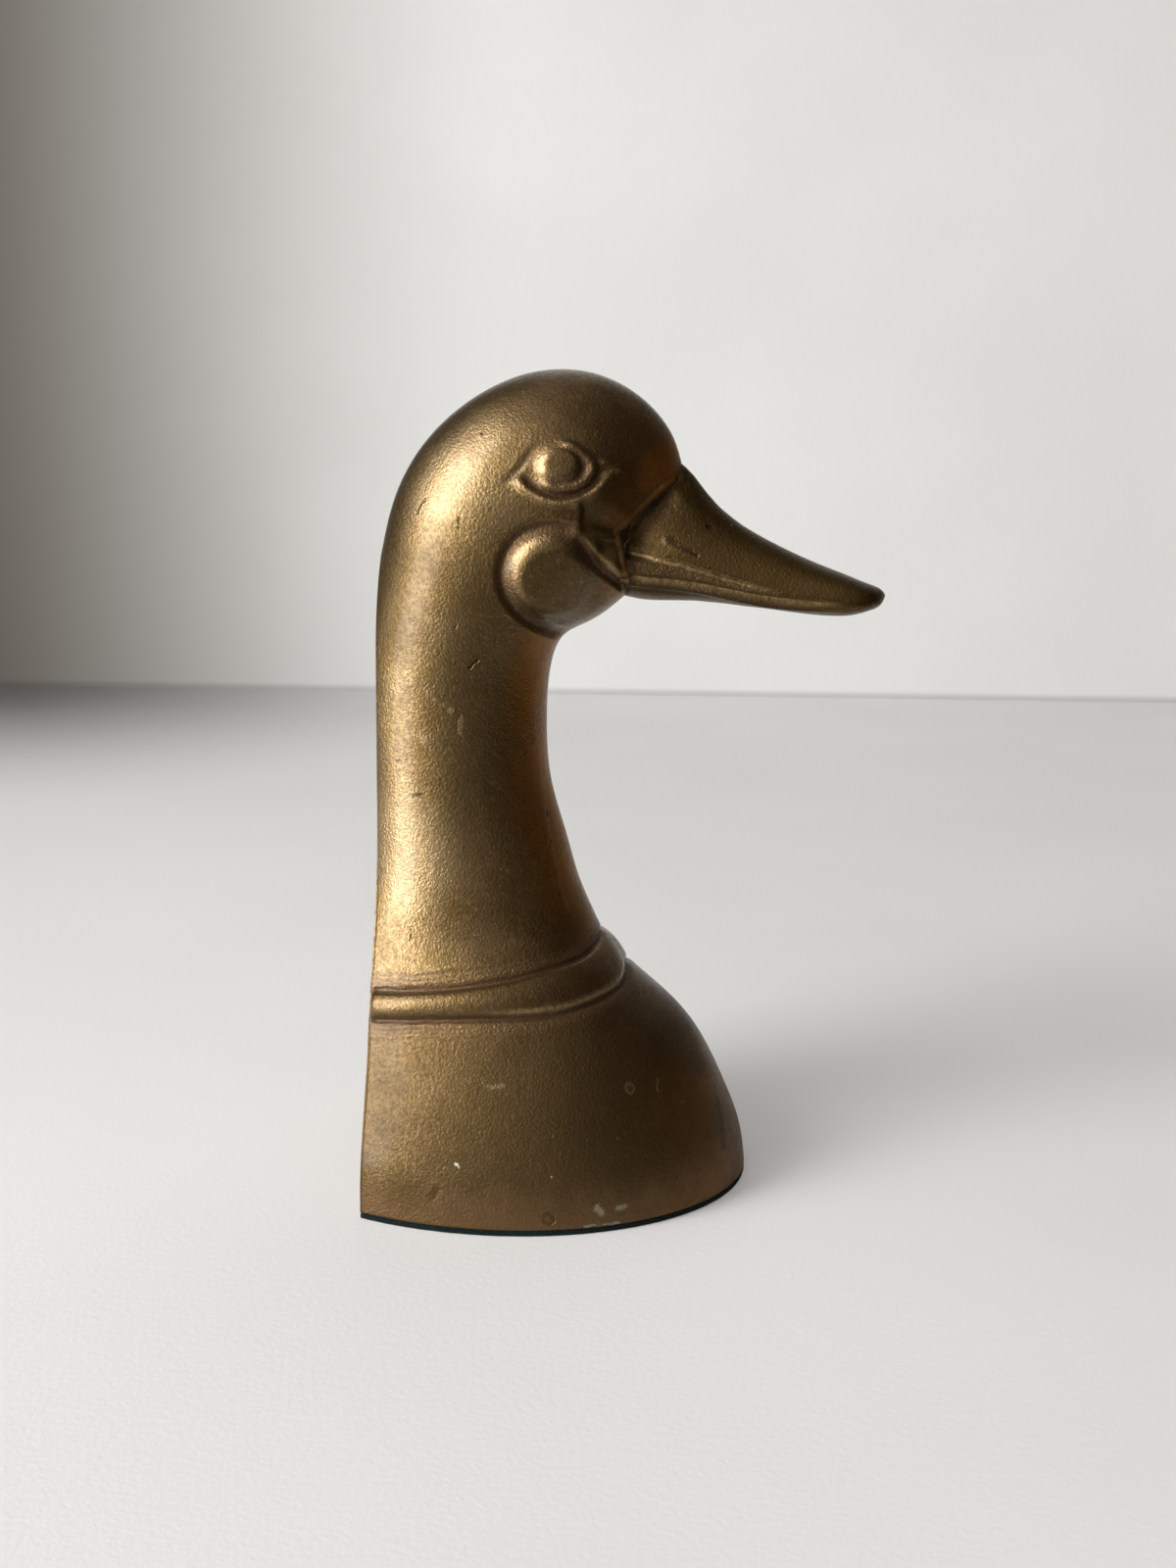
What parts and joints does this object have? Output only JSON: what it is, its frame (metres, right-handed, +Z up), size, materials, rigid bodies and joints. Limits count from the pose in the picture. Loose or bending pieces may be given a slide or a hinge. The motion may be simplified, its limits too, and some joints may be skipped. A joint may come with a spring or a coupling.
{
  "type": "duck-head bookend",
  "caption": "Brass duck head and breast with an upright flat back for books and a felted foot, cast hollow in one piece.",
  "frame": {"origin": "on the table, under the middle of the foot: halfway between the flat back and the front of the breast", "axes": "+X forward from the flat back towards the bill, +Y to the duck's left, +Z up"},
  "size_m": [0.1045, 0.078, 0.172],
  "materials": {
    "brass": "aged satin",
    "felt": "matt felt"
  },
  "bodies": {
    "root": {"duck_casting": "brass", "base_felt": "felt"}
  },
  "joints": []
}
